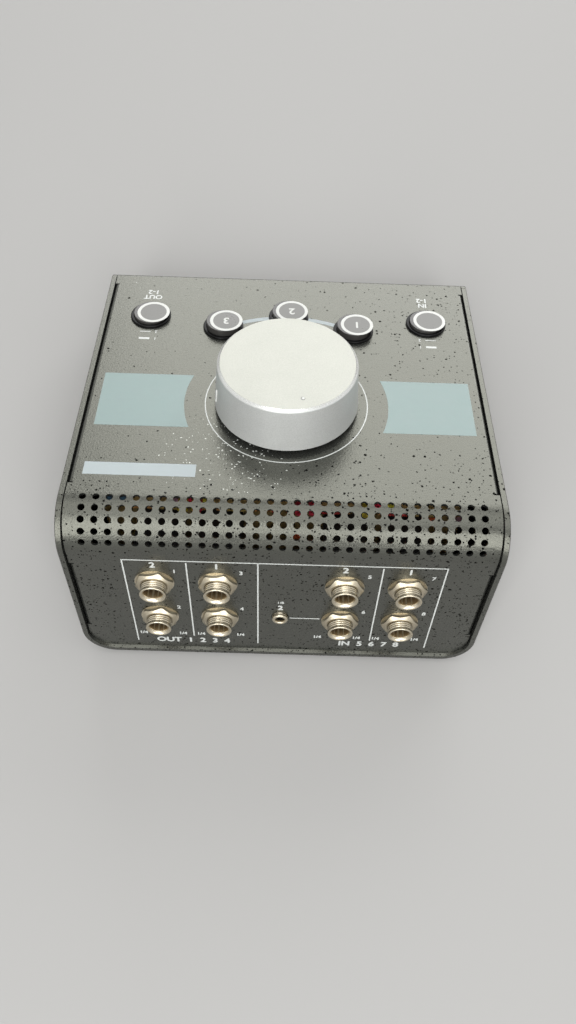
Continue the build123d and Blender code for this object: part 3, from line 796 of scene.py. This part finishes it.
for ring, above in zip(pointer_rings, pointer_rings[1:]):
    for number in range(len(ring)):
        after = (number + 1) % len(ring)
        pointer_work.faces.new((ring[number], ring[after], above[after], above[number]))
pointer_work.faces.new(pointer_rings[0][::-1])
pointer_work.faces.new(pointer_rings[-1])
pointer_up = (deck_normal - pointer_way * pointer_lean).normalized()
pointer_spot = knob_centre + pointer_way * pointer_face + deck_normal * pointer_middle
pointer_work.transform(place_of(pointer_spot, pointer_up, pointer_side))
add_piece("pointer_fill", pointer_work, enamel, "knob")

# Knob's dimple: a small drilled spot near the rim of the knob's top, given only as paint: a
# grey ring of painted shade for its wall, and a bright spot a little off its middle, a painted
# highlight for the glint inside. It is laid on as two films, the grey one lower.


def lay_disc(work, radius, points, centre=(0.0, 0.0)):
    """A round film of ink."""
    lay_outline(work, arc(radius, 0, 2 * pi * (points - 1) / points, points - 1, centre))


def halve_height(work):
    """Makes a film half as high, so that the next one covers it."""
    for vert in work.verts:
        vert.co.z *= 0.5


knob_top = max(v.co.dot(deck_normal) for v in nodes["volume_knob"].data.vertices)
dimple_place = deck_place @ Matrix.Translation((0, 0, knob_top - knob_centre.dot(deck_normal)))
dimple_radius, glint_radius = 0.00080, 0.00046
dimple_points = 24
dimple_x, dimple_y = -0.0054, 0.0186
glint_x, glint_y = dimple_x - 0.0001, dimple_y - 0.00015
dimple_shade_grey = make_plain(
    "dimple_shade_grey", (0.20, 0.20, 0.19), 0.4, metallic=0.0, size=0.0003, depth=0.000004
)
# The grey ring is painted shade, and the bright spot laid over it a painted highlight.
dimple_shade_ring = bmesh.new()
lay_disc(dimple_shade_ring, dimple_radius, dimple_points, (dimple_x, dimple_y))
halve_height(dimple_shade_ring)
dimple_shade_ring.transform(dimple_place)
add_piece("dimple_shade_ring", dimple_shade_ring, dimple_shade_grey, "knob")
dimple_glint = bmesh.new()
lay_disc(dimple_glint, glint_radius, dimple_points, (glint_x, glint_y))
dimple_glint.transform(dimple_place)
add_piece("dimple_glint", dimple_glint, enamel, "knob")

# Push buttons: polished black caps, each with a white ring printed round its top and a smoked
# middle, moving in a thin glossy bezel. The middle three carry a plain figure.
cap_black = make_plain(
    "cap_black", (0.052, 0.050, 0.047), 0.22, metallic=0.0, size=0.0006, depth=0.000002
)
bezel_black = make_plain(
    "bezel_black",
    (0.006, 0.006, 0.006),
    0.22,
    metallic=0.0,
    size=0.0006,
    depth=0.000002,
    specular=0.12,
)
natural_nylon = make_plain(
    "natural_nylon", (0.75, 0.74, 0.70), 0.5, metallic=0.0, size=0.0006, depth=0.00001
)
smoked_lens = make_plain(
    "smoked_lens", (0.135, 0.135, 0.125), 0.3, metallic=0.0, size=0.0007, depth=0.000003
)
cap_ink = make_ink("cap_ink", (0.62, 0.63, 0.60))
cap_radius = 0.0067
cap_round = 0.0002
cap_ring_width = 0.00125
ring_middle = cap_radius - cap_round - cap_ring_width / 2
lens_radius = cap_radius - cap_round - cap_ring_width
cap_points = 56
cap_figure_size = 0.0052
figures = {"mono": "1", "mute": "2", "dim": "3"}
for button in ("input_select", "output_select", "dim", "mute", "mono"):
    cap = nodes[button + "_cap"]
    heights = [v.co.dot(deck_normal) for v in cap.data.vertices]
    top = max(heights)
    rim = [v.co for v, height in zip(cap.data.vertices, heights) if height > top - cap_round]
    middle = sum(rim, Vector()) / len(rim)
    middle += deck_normal * (top - middle.dot(deck_normal))
    cap_place = place_of(middle, across, panel_normal)
    body = button + "_button"
    dress(button + "_cap", cap_black)
    dress(button + "_plunger", natural_nylon)
    ring = bmesh.new()
    lay_band(ring, ring_middle, cap_ring_width, 0, 2 * pi, steps=cap_points)
    ring.transform(cap_place)
    add_piece(button + "_ring", ring, cap_ink, body)
    lens = bmesh.new()
    lay_disc(lens, lens_radius, points=cap_points)
    halve_height(lens)
    lens.transform(cap_place)
    add_piece(button + "_lens", lens, smoked_lens, body)
    if button in figures:
        mark = bmesh.new()
        lay_figure(mark, figures[button], cap_figure_size, 0.0, 0.0, boldness=0.00014)
        mark.transform(cap_place)
        add_piece(button + "_figure", mark, cap_ink, body)
dress("button_bezels", bezel_black)
dress("push_switches", black_nylon)

# Floor, studio light and camera. They aren't part of the object. The floor is a pale matt
# sheet that fades into the backdrop far off, and four soft lamps stand round and above.


def looked_at(finish):
    """1 for what the camera sees, itself or in a mirroring surface, and 0 for other light."""
    path = add_node(finish, "LightPath").outputs
    return reckon(finish, "MAXIMUM", path["Is Camera Ray"], path["Is Glossy Ray"])


floor_finish = start_finish("pale_floor", (0.41, 0.406, 0.397), roughness=0.9, specular=0.2)
backdrop_colour = (0.93, 0.93, 0.92, 1)
fade_start, fade_end = 0.45, 1.5
floor_half = 6.0
floor_places = object_places(floor_finish)
from_object = add_node(floor_finish, "VectorMath", {0: floor_places}, operation="LENGTH")
far_off = between(floor_finish, from_object.outputs["Value"], fade_start, fade_end)
faded = reckon(floor_finish, "MULTIPLY", looked_at(floor_finish), far_off)
backdrop = add_node(floor_finish, "Emission", {"Color": backdrop_colour, "Strength": 1.0})
floor_nodes = floor_finish.node_tree.nodes
fading_wires = {0: faded, 1: floor_nodes["Principled BSDF"].outputs[0], 2: backdrop.outputs[0]}
fading = add_node(floor_finish, "MixShader", fading_wires)
floor_surface = floor_nodes["Material Output"].inputs["Surface"]
floor_finish.node_tree.links.new(fading.outputs[0], floor_surface)
floor_work = bmesh.new()
bmesh.ops.create_grid(floor_work, x_segments=1, y_segments=1, size=floor_half)
floor_mesh = bpy.data.meshes.new("floor")
floor_work.to_mesh(floor_mesh)
floor_work.free()
floor_mesh.materials.append(floor_finish)
floor = bpy.data.objects.new("floor", floor_mesh)
floor.location.z = cad_box[0].z
bpy.context.scene.collection.objects.link(floor)


def add_softbox(name, place, target, width, height, power):
    """A large soft lamp, facing its target and out of the camera's sight."""
    lamp = bpy.data.lights.new(name, "AREA")
    lamp.shape = "RECTANGLE"
    lamp.size = width
    lamp.size_y = height
    lamp.energy = power
    holder = bpy.data.objects.new(name, lamp)
    holder.location = place
    holder.rotation_mode = "QUATERNION"
    holder.rotation_quaternion = (target - place).to_track_quat("-Z", "Y")
    holder.visible_camera = False
    bpy.context.scene.collection.objects.link(holder)


object_middle = (cad_box[0] + cad_box[1]) / 2
for name, away, width, height, power in (
    ("front_softbox", (-0.25, -1.05, 0.40), 1.3, 0.95, 11.5),
    ("top_softbox", (0, -0.22, 1.06), 1.0, 0.8, 4.0),
    ("left_softbox", (0.30, 0.68, 0.80), 0.42, 1.20, 7.3),
    ("right_softbox", (-0.29, 0.76, 0.70), 0.40, 0.80, 4.5),
):
    add_softbox(name, object_middle + Vector(away), object_middle, width, height, power)

world = bpy.data.worlds.new("studio")
world.use_nodes = True
background = world.node_tree.nodes["Background"]
background.inputs["Color"].default_value = backdrop_colour
world_strength = between(world, looked_at(world), 0.0, 1.0, to_low=0.35, to_high=1.0)
world.node_tree.links.new(world_strength, background.inputs["Strength"])
bpy.context.scene.world = world
bpy.context.scene.view_settings.view_transform = "Standard"

# The camera stands behind and above: 163 mm behind the rear panel and 213 mm over the deck.
camera_from_corner = (0.00177, 0.16270, 0.21267)
image_height = 1024
focal_pixels = 821.9
knob_back = 0.0606
corner = knob_centre + panel_normal * knob_back
eye = corner + across * camera_from_corner[0]
eye += panel_normal * camera_from_corner[1] + deck_normal * camera_from_corner[2]


def from_behind(right, away, up):
    """A direction given as someone behind the object sees the deck."""
    return -across * right - panel_normal * away + deck_normal * up


camera_right = from_behind(0.99948, 0.01615, 0.02790).normalized()
camera_look = from_behind(0.01162, 0.62693, -0.77899).normalized()
camera_up = camera_right.cross(camera_look)
camera_turn = Matrix((camera_right, camera_up, -camera_look)).transposed().to_4x4()
camera_data = bpy.data.cameras.new("camera")
camera_data.sensor_width = 36.0
camera_data.lens = focal_pixels * camera_data.sensor_width / image_height
camera_data.clip_start = 0.01
camera = bpy.data.objects.new("camera", camera_data)
camera.matrix_world = Matrix.Translation(eye) @ camera_turn
bpy.context.scene.collection.objects.link(camera)
bpy.context.scene.camera = camera
